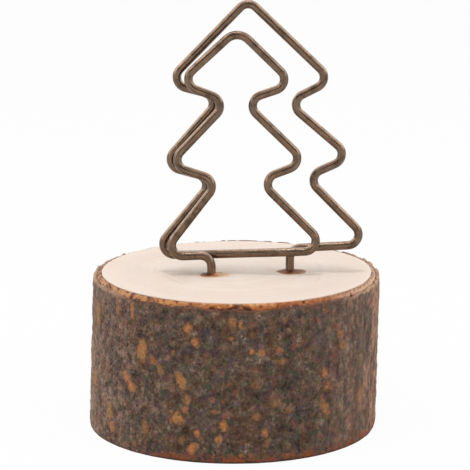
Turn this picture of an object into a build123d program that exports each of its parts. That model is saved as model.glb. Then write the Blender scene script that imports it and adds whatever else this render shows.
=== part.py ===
from build123d import *

import os
from math import atan2, cos, radians, sin, tan

# A holder for a photograph or a card. A slice of branch with its bark on stands on its sawn face.
# One wire is bent into two fir tree outlines, a small one in front and a large one behind it, and
# its two ends are glued into holes in the slice. The card is pushed down between the two outlines.
# All sizes are in millimetres. X runs to the right as the small tree is looked at, -Y is the front,
# and +Z is up. The origin is under the middle of the holder, on the surface that it stands on.

# Slice of branch
block_height = 32.5
wood_radius = 28.1
inner_bark_thickness = 1.1
outer_bark_thickness = 0.8
foot_flare = 0.3  # how much wider the bark is at the foot than at the top
block_lean = 0.85  # the branch wasn't quite square to the saw, so the top lies further to the right
rim_width = 0.9  # the worn rim, where the orange inner bark shows
rim_height = 1.0
bark_shoulder = 0.9  # height of the rounded edge of the outer bark below the worn rim
foot_chamfer = 0.7  # the worn lower edge of the bark
foot_chamfer_height = 1.0

# Wire clip
wire_diameter = 1.8
bend_radius = 2.3  # centre line of the wire in every bend that has no radius of its own
front_apex_radius = 3.2
back_apex_radius = 2.2
easy_bend_radius = 20.0  # the two slight bends of the wire where it crosses from front to back
loop_gap = 1.1  # clear gap between the two trees at their feet, where the card stands
pinch_gap = 0.3  # clear gap where the small tree crosses in front of the large one, higher up
clip_offset = 2.35  # how far in front of the middle of the slice the clip stands
cut_gap = 0.05  # the wire is cut where the spring of the small tree is; each cut is this wide

# Small tree, in front
front_tree_width = 35.3
front_tree_height = 46.6
front_tree_x = 0.2  # place of the outline's own middle, from the middle of the slice's top
front_run_height = 4.4  # centre line of the bottom run over the wood, at the outline's own middle
front_run_rise = 1.4  # the bottom run is higher at its right end than at its left end

# Large tree, behind
back_tree_width = 46.1
back_tree_height = 53.2
back_tree_x = 2.3
back_run_height = 3.6  # where the wire comes to the left foot

# Legs, holes and glue
left_leg_x = -5.2
right_leg_x = 11.1
right_leg_bend_height = 4.95  # where the right leg's line meets the bottom run, over the wood
hole_depth = 15.0
leg_end_gap = 1.0  # glue below the end of a leg
glue_clearance = 0.35  # between the wire and the wall of its hole
glue_spread_width = 6.8
glue_spread_depth = 5.4
glue_spread_height = 0.25
glue_crown_share = 0.62  # size of the spread's top as a share of its foot

# Corners of the outlines where the centre lines of the straight runs meet: shares of the width, from the
# outline's own middle, and shares of the height, from the bottom run. They start at the left foot
# and go round by the top to the right foot. The wire was bent by hand, so the sides differ.
front_corner_shares = (
    (-0.456, 0.000), (-0.090, 0.333), (-0.381, 0.413), (-0.018, 0.683), (-0.300, 0.773),
    (0.052, 1.000),
    (0.365, 0.749), (0.067, 0.683), (0.421, 0.400), (0.142, 0.329), (0.544, 0.000),
)
back_corner_shares = (
    (-0.436, 0.000), (-0.148, 0.301), (-0.384, 0.357), (-0.115, 0.622), (-0.360, 0.679),
    (0.000, 1.000),
    (0.373, 0.690), (0.176, 0.603), (0.462, 0.389), (0.260, 0.310), (0.562, 0.043),
)
pinch_height_share = 0.75  # height where the small tree crosses the large one
stub_cut_share = -0.306  # where the left part of the bottom run is cut, as a share of the small tree's width
crossing_cut_share = 0.362  # where the right part of the bottom run is cut
run_use_share = 0.98  # how much of a straight run the bends at its two ends may take up at most
crossing_start_share = 0.295  # where the wire leaves the small tree's plane to cross to the large tree's
crossing_end_share = -0.252  # where it has reached the large tree's plane, as a share of that tree's width

# Uneven round of the slice: radius shares at even steps, from +X towards +Y
slice_shares = (
    1.000, 1.003, 0.998, 0.996, 1.000, 1.002, 1.004, 0.999,
    1.000, 0.996, 0.994, 0.998, 1.000, 1.003, 1.001, 0.998,
)
lower_bark_shares = (
    1.000, 0.996, 1.001, 0.993, 1.000, 0.995, 0.998, 1.003,
    1.000, 1.002, 0.994, 0.999, 1.000, 0.994, 1.002, 0.996,
)
upper_bark_shares = (
    1.000, 1.002, 0.994, 1.001, 1.000, 0.997, 1.002, 0.995,
    1.000, 0.995, 1.001, 0.994, 1.000, 0.999, 0.995, 1.001,
)
lower_bark_height_share = 0.36
upper_bark_height_share = 0.70
glue_spread_shares = (1.00, 0.90, 0.97, 1.04, 0.94, 1.05, 0.92, 1.06)

# Worked out from the sizes above
wire_radius = wire_diameter / 2
hole_radius = wire_radius + glue_clearance
leg_foot_z = block_height - hole_depth + leg_end_gap
loop_spacing = wire_diameter + loop_gap
front_y = -clip_offset - loop_spacing / 2
back_y = -clip_offset + loop_spacing / 2
inner_bark_radius = wood_radius + inner_bark_thickness
bark_radius = inner_bark_radius + outer_bark_thickness
rim_bottom = block_height - rim_height
shoulder_bottom = rim_bottom - bark_shoulder
top_middle_x = (foot_flare + block_lean) / 2


def slice_middle(height):
    """X of the leaning slice's middle at one height. The widest points lie alike on both sides of X = 0."""
    return top_middle_x - block_lean * (1 - height / block_height)


def slice_outline(radius, height, lump_shares=None):
    """The uneven outline of one layer of the slice, as a face at one height."""
    lumps = lump_shares or [1] * len(slice_shares)
    step = radians(360 / len(slice_shares))
    reaches = [radius * share * lump for share, lump in zip(slice_shares, lumps)]
    points = [(reach * cos(i * step), reach * sin(i * step)) for i, reach in enumerate(reaches)]
    with BuildSketch(Plane((slice_middle(height), 0, height))) as outline:
        with BuildLine():
            Spline(*points, periodic=True)
        make_face()
    return outline.sketch


def flared(radius, height):
    """A bark radius at one height, with the flare towards the foot."""
    return radius + foot_flare * (1 - height / block_height)


# Slice of branch: the wood, with its two holes, then the inner bark and the outer bark as rings round it
with BuildPart() as wood_core:
    loft(sections=[slice_outline(wood_radius, height) for height in (0, block_height)])

with BuildPart() as inner_bark_core:
    loft(
        sections=[
            slice_outline(inner_bark_radius, 0),
            slice_outline(inner_bark_radius, rim_bottom),
            slice_outline(inner_bark_radius - rim_width, block_height),
        ],
        ruled=True,
    )

hole_places = [(top_middle_x + x, y, block_height) for x, y in ((left_leg_x, front_y), (right_leg_x, back_y))]

with BuildPart() as wood_slice:
    add(wood_core.part)
    with Locations(*hole_places):
        Hole(radius=hole_radius, depth=hole_depth)
wood_slice.part.label = "wood_slice"

with BuildPart() as inner_bark:
    add(inner_bark_core.part)
    add(wood_core.part, mode=Mode.SUBTRACT)
inner_bark.part.label = "inner_bark"

lower_height = block_height * lower_bark_height_share
upper_height = block_height * upper_bark_height_share
with BuildPart() as outer_bark:
    loft(
        sections=[
            slice_outline(flared(bark_radius, 0) - foot_chamfer, 0),
            slice_outline(flared(bark_radius, foot_chamfer_height), foot_chamfer_height),
            slice_outline(flared(bark_radius, lower_height), lower_height, lower_bark_shares),
            slice_outline(flared(bark_radius, upper_height), upper_height, upper_bark_shares),
            slice_outline(flared(bark_radius, shoulder_bottom), shoulder_bottom),
            slice_outline(inner_bark_radius, rim_bottom),
        ],
        ruled=True,
    )
    add(inner_bark_core.part, mode=Mode.SUBTRACT)
outer_bark.part.label = "outer_bark"

# Planes of the two trees. The small tree's plane has its X axis along its bottom run, which is the line
# that it springs about, and it leans back so that the trees come closer together towards the top.
run_slope = front_run_rise / front_tree_width
front_lean = atan2(loop_gap - pinch_gap, front_tree_height * pinch_height_share)
front_plane = Plane(
    origin=(top_middle_x + front_tree_x, front_y, block_height + front_run_height),
    x_dir=(1, 0, run_slope),
    z_dir=(0, -cos(front_lean), sin(front_lean)),
)
back_plane = Plane(
    origin=(top_middle_x + back_tree_x, back_y, block_height + back_run_height),
    x_dir=(1, 0, 0),
    z_dir=(0, -1, 0),
)


def tree_corners(plane, width, height, shares):
    """The corners of a tree's outline in the model's own frame."""
    return [plane.from_local_coords(Vector(width * across, height * up, 0)) for across, up in shares]


def bend_radii(corners, apex_radius):
    """One radius for each corner of a tree: its middle corner is the apex."""
    radii = [bend_radius] * len(corners)
    radii[len(corners) // 2] = apex_radius
    return radii


def fitted_radii(route, wanted):
    """The wanted bend radii, made smaller only where the straight runs are too short for them."""
    runs = [(end - start).length for start, end in zip(route, route[1:])]
    turns = [radians((b - a).get_angle(c - b)) for a, b, c in zip(route, route[1:], route[2:])]
    reaches = [0, *(radius * tan(turn / 2) for radius, turn in zip(wanted, turns)), 0]
    room = [min(1, run_use_share * run / (a + b)) for run, a, b in zip(runs, reaches, reaches[1:])]
    return [radius * min(before, after) for radius, before, after in zip(wanted, room, room[1:])]


def run_point(share):
    """A point on the small tree's bottom run, at a share of its width."""
    return front_plane.from_local_coords(Vector(front_tree_width * share, 0, 0))


def cut_ends(share):
    """The two ends of the wire at a cut of the bottom run, left one first."""
    half_gap = cut_gap / 2 / front_tree_width
    return run_point(share - half_gap), run_point(share + half_gap)


front_corners = tree_corners(front_plane, front_tree_width, front_tree_height, front_corner_shares)
back_corners = tree_corners(back_plane, back_tree_width, back_tree_height, back_corner_shares)
stub_left_end, stub_right_end = cut_ends(stub_cut_share)
crossing_left_end, crossing_right_end = cut_ends(crossing_cut_share)

# Small tree: from the cut in the stub round the outline to the cut where the wire crosses to the back
front_route = [stub_left_end, *front_corners, crossing_right_end]
front_radii = fitted_radii(front_route, bend_radii(front_corners, front_apex_radius))
with BuildPart() as front_tree_wire:
    with BuildLine() as front_path:
        FilletPolyline(*front_route, radius=front_radii)
    with BuildSketch(Plane(origin=front_path.line @ 0, z_dir=front_path.line % 0)):
        Circle(wire_radius)
    sweep(path=front_path.line)
front_tree_wire.part.label = "front_tree_wire"

# Left leg, with the stub of the bottom run that carries the small tree
left_leg_share = (left_leg_x - front_tree_x) / front_tree_width
left_leg_top = run_point(left_leg_share)
left_leg_foot = Vector(left_leg_top.X, left_leg_top.Y, leg_foot_z)
foot_route = [left_leg_foot, left_leg_top, stub_right_end]
with BuildPart() as wire_foot:
    with BuildLine() as foot_path:
        FilletPolyline(*foot_route, radius=fitted_radii(foot_route, [bend_radius]))
    with BuildSketch(Plane(origin=foot_path.line @ 0, z_dir=foot_path.line % 0)):
        Circle(wire_radius)
    sweep(path=foot_path.line)
wire_foot.part.label = "wire_foot"

# Large tree: from the cut, across behind the left leg, round the outline and down the right leg
crossing_start = run_point(crossing_start_share)
crossing_end = back_plane.from_local_coords(Vector(back_tree_width * crossing_end_share, 0, 0))
right_leg_top = Vector(top_middle_x + right_leg_x, back_y, block_height + right_leg_bend_height)
right_leg_foot = Vector(right_leg_top.X, back_y, leg_foot_z)
back_route = [crossing_left_end, crossing_start, crossing_end, *back_corners, right_leg_top, right_leg_foot]
back_wanted_radii = [easy_bend_radius] * 2 + bend_radii(back_corners, back_apex_radius) + [bend_radius]
with BuildPart() as back_tree_wire:
    with BuildLine() as back_path:
        FilletPolyline(*back_route, radius=fitted_radii(back_route, back_wanted_radii))
    with BuildSketch(Plane(origin=back_path.line @ 0, z_dir=back_path.line % 0)):
        Circle(wire_radius)
    sweep(path=back_path.line)
back_tree_wire.part.label = "back_tree_wire"


def glue_outline(place, height, scale):
    """The uneven outline of a glue bead on the wood, as a face at one height over it."""
    step = radians(360 / len(glue_spread_shares))
    points = [
        (glue_spread_width / 2 * share * scale * cos(i * step), glue_spread_depth / 2 * share * scale * sin(i * step))
        for i, share in enumerate(glue_spread_shares)
    ]
    with BuildSketch(Plane((place[0], place[1], place[2] + height))) as outline:
        with BuildLine():
            Spline(*points, periodic=True)
        make_face()
    return outline.sketch


def glue_bead(place, leg):
    """Glue that fills a hole round its leg and spreads a little over the wood."""
    with BuildPart() as bead:
        loft(sections=[glue_outline(place, 0, 1), glue_outline(place, glue_spread_height, glue_crown_share)])
        with BuildSketch(Plane(place)):
            Circle(hole_radius)
        extrude(amount=-hole_depth)
        add(leg, mode=Mode.SUBTRACT)
    return bead.part


left_glue = glue_bead(hole_places[0], wire_foot.part)
left_glue.label = "left_glue"
right_glue = glue_bead(hole_places[1], back_tree_wire.part)
right_glue.label = "right_glue"

os.makedirs("parts", exist_ok=True)
pieces = [
    wood_slice.part, inner_bark.part, outer_bark.part, left_glue, right_glue,
    wire_foot.part, front_tree_wire.part, back_tree_wire.part,
]
for piece in pieces:
    export_step(piece, f"parts/{piece.label}.step")

for name, path in (("small tree", front_path), ("left leg", foot_path), ("large tree", back_path)):
    length = sum(edge.length for edge in path.line.edges())
    print(f"wire of the {name}: {length:.1f} mm long")
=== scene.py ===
# %% [markdown]
# # A wooden block that holds a photograph
# The holder is a slice of branch, about 60 mm across, which stands on its sawn face. One wire is bent
# into two fir trees, and a photograph is pushed down between them. Here the holder's bare solids get
# their looks: sanded wood, torn inner bark, rough outer bark with its pores, drawn and bronzed wire,
# and the glue at the wire's feet.
#
# The solids come in as a fixed frame, in metres, with +Z up and the front towards -Y.

# %% Load the fixed frame
from math import atan2, ceil, cos, degrees, pi, radians, sin, tan
from random import Random

import bmesh
import bpy
import numpy as np
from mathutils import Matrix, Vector
from mathutils.bvhtree import BVHTree


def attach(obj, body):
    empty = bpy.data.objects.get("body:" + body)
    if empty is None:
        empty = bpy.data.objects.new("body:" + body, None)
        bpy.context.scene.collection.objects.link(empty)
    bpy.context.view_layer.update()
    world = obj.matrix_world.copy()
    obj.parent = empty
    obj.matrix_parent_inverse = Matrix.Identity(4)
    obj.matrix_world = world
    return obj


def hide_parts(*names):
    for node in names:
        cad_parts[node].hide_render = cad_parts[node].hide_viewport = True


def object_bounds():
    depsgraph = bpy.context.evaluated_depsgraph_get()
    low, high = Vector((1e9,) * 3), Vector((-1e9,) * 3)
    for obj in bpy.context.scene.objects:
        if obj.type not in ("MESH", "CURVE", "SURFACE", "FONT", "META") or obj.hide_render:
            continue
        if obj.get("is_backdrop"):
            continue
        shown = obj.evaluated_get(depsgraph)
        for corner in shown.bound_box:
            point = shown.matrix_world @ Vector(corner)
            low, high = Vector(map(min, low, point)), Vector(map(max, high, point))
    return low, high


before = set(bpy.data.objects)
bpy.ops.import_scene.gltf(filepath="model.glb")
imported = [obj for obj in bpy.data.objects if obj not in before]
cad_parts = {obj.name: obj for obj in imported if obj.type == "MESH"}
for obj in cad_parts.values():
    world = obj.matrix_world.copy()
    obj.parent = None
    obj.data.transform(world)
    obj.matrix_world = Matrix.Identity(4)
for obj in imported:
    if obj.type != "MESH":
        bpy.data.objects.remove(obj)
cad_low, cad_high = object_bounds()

mm = 0.001
cad_size = (cad_high - cad_low) / mm
print("solids:", ", ".join(sorted(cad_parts)))
print(f"box of the solids: {cad_size.x:.1f} x {cad_size.y:.1f} x {cad_size.z:.1f} mm")

# %% [markdown]
# ## The camera
# A photograph is easiest to match when the camera is set first and then left alone. The upper rim of
# the slice shows as an ellipse. If the slice is taken as round, how flat the ellipse is gives the
# height of the camera over the table. The distance can't be told from the outline: from 400 to 800 mm
# it fits as well, so 500 mm was chosen, with a lens long enough to fill the picture.

# %% Set the camera
image_side = 470  # pixels of the square photograph
sensor_width = 36 * mm
lens_length = 184.1 * mm
camera_distance = 500 * mm
camera_elevation = radians(12.54)
aim = Vector((0.25, 0, 40.1)) * mm

line_of_sight = Vector((0, cos(camera_elevation), -sin(camera_elevation)))
eye = aim - line_of_sight * camera_distance

camera_data = bpy.data.cameras.new("camera")
camera_data.sensor_width = sensor_width / mm
camera_data.lens = lens_length / mm
scene = bpy.context.scene


def add_object(name, data):
    """A new object in the scene, with this mesh, camera or lamp in it."""
    made = bpy.data.objects.new(name, data)
    scene.collection.objects.link(made)
    return made


camera = add_object("camera", camera_data)
camera.location = eye
camera.rotation_euler = (pi / 2 - camera_elevation, 0, 0)
scene.camera = camera
print(f"camera {camera_distance / mm:.0f} mm away, {degrees(camera_elevation):.1f} degrees up")

# %% [markdown]
# ## One helper for nodes, one for colours
# Materials and node trees are both made of nodes, so one small function adds a node, gives it its
# settings, and sets or links its inputs. It hands back one output, ready to be linked on.
# Colours are written as they look on the screen, as sRGB hex values. Blender calculates with linear
# light, so they are turned into linear values in one place.


# %% Colour and node helpers
def linear(hex_colour):
    """An sRGB hex colour, such as "#c08040", as linear red, green, blue and a full alpha."""
    shares = [int(hex_colour[i:i + 2], 16) / 255 for i in (1, 3, 5)]
    return (*(s / 12.92 if s <= 0.04045 else ((s + 0.055) / 1.055) ** 2.4 for s in shares), 1)


def add_node(tree, kind, *values, out=0, stops=(), **settings):
    """Add a node, such as "Math ADD", set or link its inputs, and return one of its outputs.

    Values fill the inputs in order, and a dict fills them by name or number. The start of the type,
    "ShaderNode" or "GeometryNode", is left out.
    """
    kind, _, choice = kind.partition(" ")
    starts = ("GeometryNode", "ShaderNode", "") if tree.type == "GEOMETRY" else ("ShaderNode",)
    node = tree.nodes.new(next(start + kind for start in starts if hasattr(bpy.types, start + kind)))
    if choice:
        setattr(node, "interpolation_type" if kind == "MapRange" else "operation", choice)
    for name, value in settings.items():
        setattr(node, name, value)
    for i, (place, hex_colour) in enumerate(stops):
        stop = node.color_ramp.elements[i] if i < 2 else node.color_ramp.elements.new(place)
        stop.position, stop.color = place, linear(hex_colour)
    inputs = {}
    for i, value in enumerate(values):
        inputs.update(value if isinstance(value, dict) else {i: value})
    for key, value in inputs.items():
        if isinstance(value, bpy.types.NodeSocket):
            tree.links.new(value, node.inputs[key])
        else:
            is_colour = isinstance(value, str) and value.startswith("#")
            node.inputs[key].default_value = linear(value) if is_colour else value
    return node.outputs[out] if node.outputs else None


def new_material(name):
    """An empty material, and the tree that its nodes go into."""
    material = bpy.data.materials.new(name)
    material.use_nodes = True
    material.node_tree.nodes.clear()
    return material, material.node_tree


print("linear value of mid grey:", round(linear("#808080")[0], 3))

# %% [markdown]
# ## The table, the room and the lamps
# The holder seems to stand on white, under a soft lamp almost overhead. The room is white only
# for the camera and in reflections, and a plain grey as a source of light, so that the white ground
# doesn't wash the colours out. The table is part real surface, which takes the shadow, and part plain
# white. Photographers of bright metal hold a dark card in front of the work and a bright one above and
# behind it, which draw a dark line and a light edge along a round wire. Here both cards are seen in
# reflections only.

# %% Build the table and the room
table_half = 1.5
table_white_share = 0.95  # how much of the table is plain white, which no shadow darkens
room_grey = 0.5

scene.view_settings.view_transform = "Standard"


def seen_share(tree, share):
    """The share, for a ray that shows the ground: from the camera, in a reflection or through glass."""
    kinds = [add_node(tree, "LightPath", out=kind) for kind in (
        "Is Camera Ray", "Is Glossy Ray", "Is Transmission Ray")]
    glossy = add_node(tree, "Math MAXIMUM", kinds[0], kinds[1])
    either = add_node(tree, "Math MAXIMUM", glossy, kinds[2])
    return add_node(tree, "Math MULTIPLY", either, share)


room = bpy.data.worlds.new("white_room")
room.use_nodes = True
room.node_tree.nodes.clear()
grey = add_node(room.node_tree, "Background", {"Color": "#ffffff", "Strength": room_grey})
white = add_node(room.node_tree, "Background", {"Color": "#ffffff", "Strength": 1})
both = add_node(room.node_tree, "MixShader", seen_share(room.node_tree, 1), grey, white)
add_node(room.node_tree, "OutputWorld", {"Surface": both})
scene.world = room

table_material, tree = new_material("matt_white_table")
matt = add_node(tree, "BsdfDiffuse", {"Color": "#f8f8f8"})
plain = add_node(tree, "Emission", {"Color": "#ffffff", "Strength": 1})
mixed = add_node(tree, "MixShader", seen_share(tree, table_white_share), matt, plain)
add_node(tree, "OutputMaterial", {"Surface": mixed})

table_mesh = bpy.data.meshes.new("table")
corners = [(x * table_half, y * table_half, 0) for x, y in ((-1, -1), (1, -1), (1, 1), (-1, 1))]
table_mesh.from_pydata(corners, [], [(0, 1, 2, 3)])
table_mesh.materials.append(table_material)
table = add_object("table", table_mesh)
table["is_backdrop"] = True
print(f"table {2 * table_half:.0f} m wide, room at {room_grey} of white")

# %% Hang the lamps
lamps = {  # place, side of the square lamp in metres, and how bright it makes a white sheet that faces it
    "overhead_lamp": (Vector((-0.02, -0.035, 0.80)), 0.16, 0.305),
    "left_lamp": (Vector((-0.62, -0.30, 0.42)), 0.50, 0.225),
    "right_lamp": (Vector((0.64, -0.30, 0.42)), 0.50, 0.225),
}
for name, (place, side, level) in lamps.items():
    lamp_data = bpy.data.lights.new(name, "AREA")
    lamp_data.size = side
    lamp_data.energy = level * pi ** 2 * (place - aim).length_squared
    lamp = add_object(name, lamp_data)
    lamp.location = place
    lamp.rotation_euler = (place - aim).to_track_quat("Z", "Y").to_euler()
    print(f"{name}: {lamp_data.energy:.1f} W from {(place - aim).length:.2f} m")

# %% Stand a dark card in front and a bright one behind
card_distance = 0.45
card_steps = 24
dark_half_turn, dark_low, dark_high = 60, 0.18, 0.36
bright_half_turn, bright_near, bright_far = 75, -0.02, 0.55
bright_strength = 3.0


def bent_card(name, half_turn, point_pair, shader_kind, inputs):
    """A card bent round the holder, which only reflections show."""
    turns = [radians(half_turn * (2 * i / card_steps - 1)) for i in range(card_steps + 1)]
    points = [point for turn in turns for point in point_pair(turn)]
    mesh = bpy.data.meshes.new(name)
    mesh.from_pydata(points, [], [(2 * i, 2 * i + 2, 2 * i + 3, 2 * i + 1) for i in range(card_steps)])
    material, card_tree = new_material(name + "_face")
    face = add_node(card_tree, shader_kind, inputs)
    add_node(card_tree, "OutputMaterial", {"Surface": face})
    mesh.materials.append(material)
    card = add_object(name, mesh)
    card.visible_camera = card.visible_diffuse = card.visible_shadow = card.visible_transmission = False
    card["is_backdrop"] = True
    print(f"{name}: {2 * half_turn} degrees round the holder")


def in_front(turn):
    """The lower and upper edge of the dark card, in front of the holder."""
    across, forward = card_distance * sin(turn), -card_distance * cos(turn)
    return (across, forward, dark_low), (across, forward, dark_high)


def overhead(turn):
    """The near and far edge of the bright card, an arch over the holder."""
    across, up = card_distance * sin(turn), aim.z + card_distance * cos(turn)
    return (across, bright_near, up), (across, bright_far, up)


bent_card("dark_card", dark_half_turn, in_front, "BsdfDiffuse", {"Color": "#101010"})
bent_card("bright_card", bright_half_turn, overhead, "Emission", {
    "Color": "#ffffff", "Strength": bright_strength})

# %% [markdown]
# ## How the solids are measured
# New surfaces have to fit the solids. A ray is sent from outside towards the middle of the slice at
# one height, and where it meets the solid gives the radius there. The slice leans a little, because
# the branch wasn't square to the saw, so its middle moves with the height.

# %% Measure the slice
block_height = 32.5 * mm
foot_middle_x = -0.275 * mm
top_middle_x = 0.575 * mm
ray_start = 0.1  # how far from the middle a ray from outside starts


def search_tree(node):
    """A solid's surface, ready for rays."""
    copy = bmesh.new()
    copy.from_mesh(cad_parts[node].data)
    found = BVHTree.FromBMesh(copy)
    copy.free()
    return found


def middle(height):
    """The middle of the leaning slice at one height."""
    return Vector((foot_middle_x + (top_middle_x - foot_middle_x) * height / block_height, 0, height))


def radii_at(surface, height, steps, from_outside):
    """A solid's radius at even steps round the slice, from +X towards +Y."""
    found = []
    for i in range(steps):
        out = Vector((cos(2 * pi * i / steps), sin(2 * pi * i / steps), 0))
        start = middle(height) + out * (ray_start if from_outside else 0)
        hit = surface.ray_cast(start, -out if from_outside else out)[0]
        found.append((hit - middle(height)).length)
    return np.array(found)


ring_steps = 720
wood_surface = search_tree("wood_slice")
bark_surface = search_tree("outer_bark")
wood_radii = radii_at(wood_surface, 10 * mm, ring_steps, True)
wall_radii = radii_at(bark_surface, 10 * mm, ring_steps, False)
print(f"wood {wood_radii.min() / mm:.2f} to {wood_radii.max() / mm:.2f} mm in radius")
print(f"inside of the outer bark {wall_radii.min() / mm:.2f} to {wall_radii.max() / mm:.2f} mm")


# %% Join rows of points into a closed ring
def ring_mesh(name, rows, fields):
    """A closed ring: each row is (radii, heights), and the last row joins the first. Fields are kept."""
    steps = len(rows[0][0])
    angles = np.arange(steps) * 2 * pi / steps
    points = np.empty((len(rows), steps, 3))
    for row, (radii, height) in zip(points, rows):
        lean = foot_middle_x + (top_middle_x - foot_middle_x) * height / block_height
        row[:, 0] = lean + radii * np.cos(angles)
        row[:, 1] = radii * np.sin(angles)
        row[:, 2] = height
    row_numbers, step_numbers = np.meshgrid(np.arange(len(rows)), np.arange(steps), indexing="ij")
    next_rows = (row_numbers + 1) % len(rows)
    next_steps = (step_numbers + 1) % steps
    faces = np.stack([
        row_numbers * steps + step_numbers, row_numbers * steps + next_steps,
        next_rows * steps + next_steps, next_rows * steps + step_numbers,
    ], axis=-1).reshape(-1, 4)
    mesh = bpy.data.meshes.new(name)
    mesh.from_pydata(points.reshape(-1, 3).tolist(), [], faces.tolist())
    for field, row_values in fields.items():
        layer = mesh.attributes.new(field, "FLOAT", "POINT")
        layer.data.foreach_set("value", np.repeat(np.array(row_values, np.float32), steps))
    mesh.shade_smooth()
    return add_object(name, mesh)


print("faces join each row of points with the next:", ring_steps, "round a ring")

# %% [markdown]
# ## Lenticels, the pores of the bark
# Young bark breathes through lenticels: raised corky spots, here 1 to 4 mm long and ochre to orange.
# The ones on the front are placed one by one from the photograph. A line of sight through each pixel is
# followed until it meets the bark, so every spot sits on its surface. Round the back they are strewn
# by a seeded random generator, about as densely. They are kept as a cloud of points with their
# sizes as attributes, and the bark's node tree looks up the nearest one.

# %% List the lenticels of the front
lenticel_pixels = (  # across, down, width, height, slant, how orange and how strong, on the front
    (142, 351, 9, 21, -0.1, 0.4, 1.0), (127, 377, 7, 11, 0.3, 0.8, 1.0), (131, 386, 8, 11, 0.2, 0.7, 1.0),
    (181, 382, 8, 17, 0.3, 0.5, 1.0), (188, 328, 9, 9, 0.0, 0.9, 1.0), (195, 343, 7, 9, 0.0, 1.0, 1.0),
    (153, 361, 8, 9, 0.2, 0.9, 0.75), (160, 370, 7, 9, 0.4, 0.3, 0.7), (109, 412, 5, 17, 0.0, 0.3, 1.0),
    (112, 427, 6, 10, 0.2, 0.5, 0.9), (145, 427, 7, 13, 0.0, 0.4, 0.75), (176, 417, 14, 15, 0.3, 0.4, 1.0),
    (171, 412, 4, 4, 0.0, 0.3, 0.7), (187, 400, 8, 9, 0.0, 0.6, 0.75), (185, 410, 6, 6, 0.0, 0.9, 0.9),
    (192, 449, 9, 11, -0.2, 0.7, 1.0), (182, 441, 7, 9, 0.0, 0.3, 0.65), (197, 434, 6, 7, 0.0, 0.9, 0.9),
    (134, 444, 5, 4, 0.0, 1.0, 0.7), (160, 430, 8, 9, 0.0, 0.1, 0.3), (108, 438, 3, 3, 0.0, 0.4, 0.8),
    (132, 311, 4, 21, 0.1, 0.8, 0.9), (118, 309, 5, 15, 0.0, 1.0, 0.7), (98, 312, 5, 27, 0.0, 0.2, 0.9),
    (95, 378, 3, 18, 0.0, 0.3, 0.9), (173, 353, 4, 5, 0.0, 1.0, 0.7), (153, 323, 11, 9, 0.0, 0.2, 0.35),
    (233, 323, 11, 13, 0.3, 0.5, 0.8), (241, 325, 4, 8, 0.0, 0.8, 0.9), (231, 339, 6, 4, 0.0, 1.0, 0.8),
    (252, 352, 5, 5, 0.0, 0.9, 1.0), (261, 353, 8, 8, 0.0, 0.6, 0.8), (279, 350, 7, 6, 0.0, 0.9, 0.8),
    (280, 362, 12, 6, 0.0, 0.5, 0.7), (256, 385, 10, 10, 0.2, 0.6, 0.5), (276, 403, 10, 11, 0.0, 0.6, 0.55),
    (257, 417, 8, 9, 0.0, 0.4, 0.65), (223, 426, 8, 10, 0.2, 0.5, 1.0), (219, 440, 7, 9, 0.0, 0.4, 0.9),
    (265, 433, 6, 10, 0.1, 0.7, 0.9), (223, 402, 4, 4, 0.0, 0.9, 0.6), (215, 412, 9, 5, 0.0, 0.9, 0.7),
    (241, 456, 4, 4, 0.0, 0.6, 0.8), (229, 385, 9, 7, 0.0, 0.9, 0.3), (247, 436, 9, 8, 0.0, 0.1, 0.3),
    (285, 320, 5, 8, 0.0, 0.4, 0.6), (253, 336, 7, 9, 0.0, 1.0, 0.4), (325, 372, 6, 9, 0.2, 0.8, 0.9),
    (332, 364, 3, 4, 0.0, 1.0, 0.7), (328, 386, 9, 10, 0.2, 0.8, 0.65), (325, 407, 8, 20, 0.5, 0.4, 0.75),
    (341, 334, 6, 8, 0.0, 0.9, 0.6), (343, 345, 6, 9, 0.0, 0.3, 0.7), (326, 311, 6, 6, 0.0, 1.0, 0.5),
    (348, 316, 7, 8, 0.0, 0.1, 0.3), (362, 358, 5, 13, 0.0, 0.3, 0.4), (361, 395, 8, 16, 0.0, 0.6, 0.7),
    (289, 410, 6, 6, 0.0, 1.0, 0.5), (300, 356, 5, 6, 0.0, 0.8, 0.4), (310, 425, 6, 8, 0.0, 0.5, 0.3),
)
print(len(lenticel_pixels), "lenticels listed")

# %% Place the lenticels
pixel_size = sensor_width / image_side / lens_length  # of one pixel, as a share of the distance
least_facing = 0.35  # keeps a spot near the outline from growing too wide
spot_growth = 1.38  # a spot's ragged outline eats into its ellipse
right_hand = Vector((1, 0, 0))
upward = right_hand.cross(line_of_sight)


def seen_at(surface, across, down):
    """Where the line of sight through a pixel of the photograph meets a surface."""
    offset = right_hand * (across - image_side / 2) - upward * (down - image_side / 2)
    return surface.ray_cast(eye, (line_of_sight + offset * pixel_size).normalized())[0]


spots = []  # place, half width, half height, slant, how orange and how strong
for across, down, width, height, slant, orange, strength in lenticel_pixels:
    place = seen_at(bark_surface, across, down)
    if place is not None:
        size = pixel_size * (place - eye).length / 2
        facing = max(least_facing, -place.y / Vector((place.x, place.y)).length)
        half_width, half_height = width * size * spot_growth / facing, height * size * spot_growth
        spots.append((place, half_width, half_height, slant, orange, strength))
print(f"{len(spots)} of them are on the bark")

back_spots = 52
back_random = Random(11)
for i in range(back_spots):
    turn = radians(back_random.uniform(-8, 188))
    height = back_random.uniform(1.5, 30) * mm
    out = Vector((cos(turn), sin(turn), 0))
    place = bark_surface.ray_cast(middle(height) + out * ray_start, -out)[0]
    spots.append((
        place, back_random.uniform(0.5, 1.1) * mm, back_random.uniform(0.7, 2.1) * mm,
        back_random.uniform(-0.3, 0.6), back_random.uniform(0.1, 1), back_random.uniform(0.3, 1),
    ))

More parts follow.
